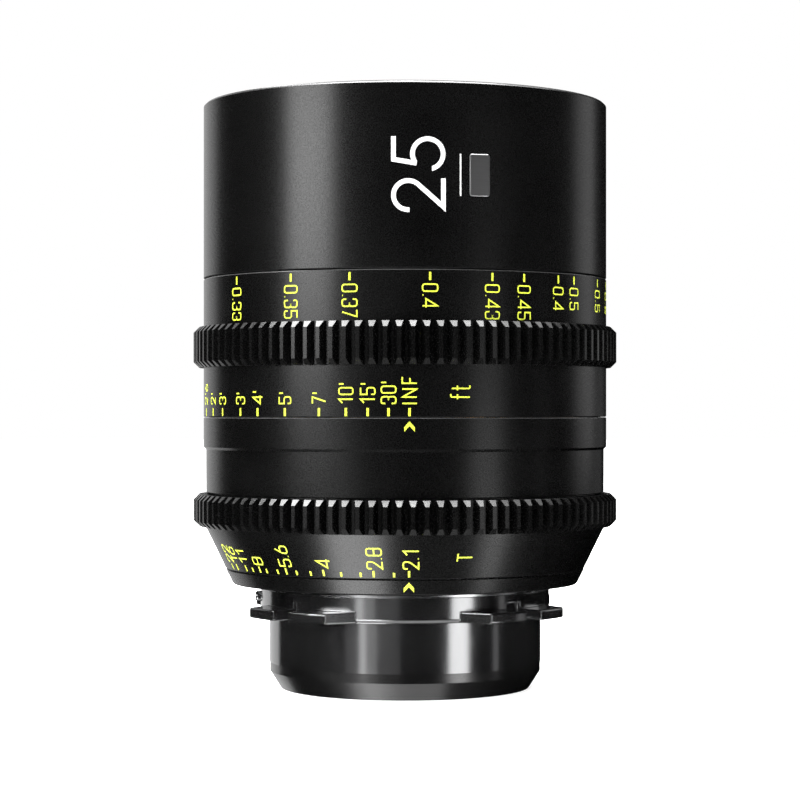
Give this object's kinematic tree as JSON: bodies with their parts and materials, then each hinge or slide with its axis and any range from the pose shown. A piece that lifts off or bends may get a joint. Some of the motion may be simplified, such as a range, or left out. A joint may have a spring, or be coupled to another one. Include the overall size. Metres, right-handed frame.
{
  "type": "cinema prime lens",
  "caption": "Prime lens for a cinema camera: focus and iris rings with gear teeth, moving optics, a working iris, a stepped front bore and a four-wing PL mount at the rear.",
  "frame": {"origin": "centre of the flange plane, where the mount's spigot meets its wings", "axes": "+Z along the optical axis towards the front element; the index marks face -Y"},
  "size_m": [0.084, 0.084, 0.1152],
  "materials": {
    "black_anodised_barrel": "fine bead-blasted, satin black anodised",
    "black_gear": "machined, black anodised",
    "black_chrome_mount": "gloss black chrome",
    "matte_black_ring": "matte black anodised",
    "flat_black_baffle": "flat light-absorbing black",
    "grey_badge": "satin grey with bright bevels",
    "steel_shim": "ground",
    "black_screws": "blackened",
    "inner_metal": "black anodised, machined",
    "bronze_cam": "turned",
    "bright_steel": "ground",
    "washer_plastic": "low-friction plastic",
    "iris_steel": "blackened spring steel",
    "coated_glass": "polished, coated"
  },
  "bodies": {
    "body": {"front_barrel": "black_anodised_barrel", "front_barrel_screws": "black_screws", "front_baffle": "flat_black_baffle", "format_badge": "grey_badge", "main_tube": "inner_metal", "middle_barrel": "black_anodised_barrel", "middle_barrel_screws": "black_screws", "rear_cover": "black_anodised_barrel", "rear_cover_screws": "black_screws", "mount_shim": "steel_shim", "pl_mount": "black_chrome_mount", "mount_screws": "black_screws", "rear_guard_ring": "matte_black_ring", "index_stud": "black_chrome_mount", "iris_washer": "washer_plastic", "focus_rear_washer": "washer_plastic", "focus_front_washer": "washer_plastic", "focus_stop_pin": "bright_steel"},
    "focus_ring": {"focus_ring": "black_gear", "focus_cam_sleeve": "bronze_cam", "focus_keys": "bright_steel"},
    "optical_block": {"lens_barrel": "inner_metal", "cam_rollers": "bronze_cam", "roller_screws": "bright_steel", "front_cell": "flat_black_baffle", "front_retaining_ring": "flat_black_baffle", "front_element": "coated_glass", "second_element": "coated_glass", "front_spacer": "inner_metal", "middle_cell": "inner_metal", "third_element": "coated_glass", "third_retaining_ring": "inner_metal", "middle_lock_ring": "inner_metal", "fourth_element": "coated_glass", "fifth_element": "coated_glass", "iris_plate": "inner_metal", "iris_lock_ring": "inner_metal", "rear_cell": "flat_black_baffle", "rear_cell_screws": "black_screws", "sixth_element": "coated_glass", "seventh_element": "coated_glass", "nose_retaining_ring": "inner_metal", "eighth_element": "coated_glass", "rear_spacer": "inner_metal", "ninth_element": "coated_glass", "tenth_element": "coated_glass", "rear_retaining_ring": "flat_black_baffle"},
    "iris_ring": {"iris_ring": "black_gear", "iris_driver": "bright_steel", "iris_driver_screw": "black_screws"},
    "iris_drive_ring": {"iris_drive_ring": "inner_metal"},
    "iris_blade_1": {"iris_blade_1": "iris_steel"},
    "iris_blade_2": {"iris_blade_2": "iris_steel"},
    "iris_blade_3": {"iris_blade_3": "iris_steel"},
    "iris_blade_4": {"iris_blade_4": "iris_steel"},
    "iris_blade_5": {"iris_blade_5": "iris_steel"},
    "iris_blade_6": {"iris_blade_6": "iris_steel"},
    "iris_blade_7": {"iris_blade_7": "iris_steel"},
    "iris_blade_8": {"iris_blade_8": "iris_steel"},
    "iris_blade_9": {"iris_blade_9": "iris_steel"}
  },
  "joints": [
    {"name": "focus_turn", "type": "hinge", "parent": "body", "child": "focus_ring", "pos_m": [0, 0, 0.052], "axis": [0, 0, 1], "range_deg": [0, 270]},
    {"name": "focus_slide", "type": "slide", "parent": "body", "child": "optical_block", "axis": [0, 0, 1], "range_m": [0, 0.0027]},
    {"name": "iris_turn", "type": "hinge", "parent": "body", "child": "iris_ring", "pos_m": [0, 0, 0.016], "axis": [0, 0, 1], "range_deg": [0, 70]},
    {"name": "iris_drive_turn", "type": "hinge", "parent": "optical_block", "child": "iris_drive_ring", "pos_m": [0, 0, 0.03], "axis": [0, 0, 1], "range_deg": [0, 70]},
    {"name": "blade_1_swing", "type": "hinge", "parent": "optical_block", "child": "iris_blade_1", "pos_m": [0, -0.023, 0.0335], "axis": [0, 0, 1], "range_deg": [0, 26.39]},
    {"name": "blade_2_swing", "type": "hinge", "parent": "optical_block", "child": "iris_blade_2", "pos_m": [0.01478, -0.01762, 0.0335], "axis": [0, 0, 1], "range_deg": [0, 26.39]},
    {"name": "blade_3_swing", "type": "hinge", "parent": "optical_block", "child": "iris_blade_3", "pos_m": [0.02265, -0.00399, 0.0335], "axis": [0, 0, 1], "range_deg": [0, 26.39]},
    {"name": "blade_4_swing", "type": "hinge", "parent": "optical_block", "child": "iris_blade_4", "pos_m": [0.01992, 0.0115, 0.0335], "axis": [0, 0, 1], "range_deg": [0, 26.39]},
    {"name": "blade_5_swing", "type": "hinge", "parent": "optical_block", "child": "iris_blade_5", "pos_m": [0.00787, 0.02161, 0.0335], "axis": [0, 0, 1], "range_deg": [0, 26.39]},
    {"name": "blade_6_swing", "type": "hinge", "parent": "optical_block", "child": "iris_blade_6", "pos_m": [-0.00787, 0.02161, 0.0335], "axis": [0, 0, 1], "range_deg": [0, 26.39]},
    {"name": "blade_7_swing", "type": "hinge", "parent": "optical_block", "child": "iris_blade_7", "pos_m": [-0.01992, 0.0115, 0.0335], "axis": [0, 0, 1], "range_deg": [0, 26.39]},
    {"name": "blade_8_swing", "type": "hinge", "parent": "optical_block", "child": "iris_blade_8", "pos_m": [-0.02265, -0.00399, 0.0335], "axis": [0, 0, 1], "range_deg": [0, 26.39]},
    {"name": "blade_9_swing", "type": "hinge", "parent": "optical_block", "child": "iris_blade_9", "pos_m": [-0.01478, -0.01762, 0.0335], "axis": [0, 0, 1], "range_deg": [0, 26.39]}
  ],
  "couplings": [
    {"joint": "focus_slide", "follows": "focus_turn", "m_per_rad": 0.00057296},
    {"joint": "iris_drive_turn", "follows": "iris_turn", "ratio": 1},
    {"joint": "blade_1_swing", "follows": "iris_turn", "ratio": 0.37699},
    {"joint": "blade_2_swing", "follows": "iris_turn", "ratio": 0.37699},
    {"joint": "blade_3_swing", "follows": "iris_turn", "ratio": 0.37699},
    {"joint": "blade_4_swing", "follows": "iris_turn", "ratio": 0.37699},
    {"joint": "blade_5_swing", "follows": "iris_turn", "ratio": 0.37699},
    {"joint": "blade_6_swing", "follows": "iris_turn", "ratio": 0.37699},
    {"joint": "blade_7_swing", "follows": "iris_turn", "ratio": 0.37699},
    {"joint": "blade_8_swing", "follows": "iris_turn", "ratio": 0.37699},
    {"joint": "blade_9_swing", "follows": "iris_turn", "ratio": 0.37699}
  ]
}
